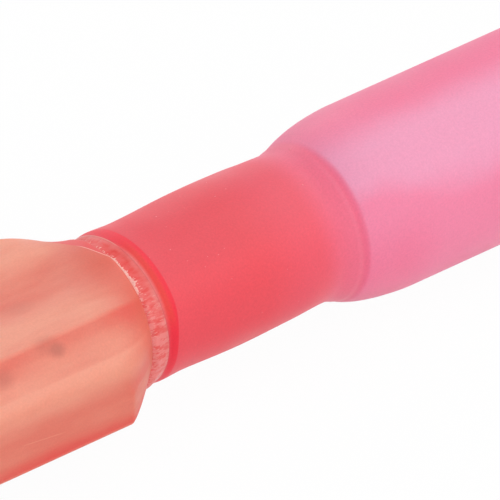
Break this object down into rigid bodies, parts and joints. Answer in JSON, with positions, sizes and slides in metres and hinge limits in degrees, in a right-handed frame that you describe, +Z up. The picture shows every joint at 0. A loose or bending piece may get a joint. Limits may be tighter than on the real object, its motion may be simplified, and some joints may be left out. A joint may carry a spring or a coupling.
{
  "type": "heat shrink female spade terminal",
  "caption": "Insulated push-on terminal: curled receptacle in a fluted translucent housing, crimp barrel under an adhesive-lined heat shrink tube.",
  "frame": {"origin": "on the crimp barrel's axis, at the barrel's wire end", "axes": "+X along the barrel's axis towards the open end of the tube, where the wire enters; +Y across the flat receptacle; +Z up, square to the tab's flat side"},
  "size_m": [0.0353, 0.0084, 0.0066],
  "materials": {
    "tinned_brass": "thin tin plate, satin",
    "salmon_nylon": "translucent moulded nylon, satin",
    "pink_jacket": "translucent irradiated polyolefin, satin",
    "hot_melt": "translucent hot-melt adhesive, waxy, with small bubbles in the bead"
  },
  "bodies": {
    "root": {"female_terminal": "tinned_brass", "nylon_housing": "salmon_nylon", "shrink_jacket": "pink_jacket", "adhesive_liner": "hot_melt"}
  },
  "joints": []
}
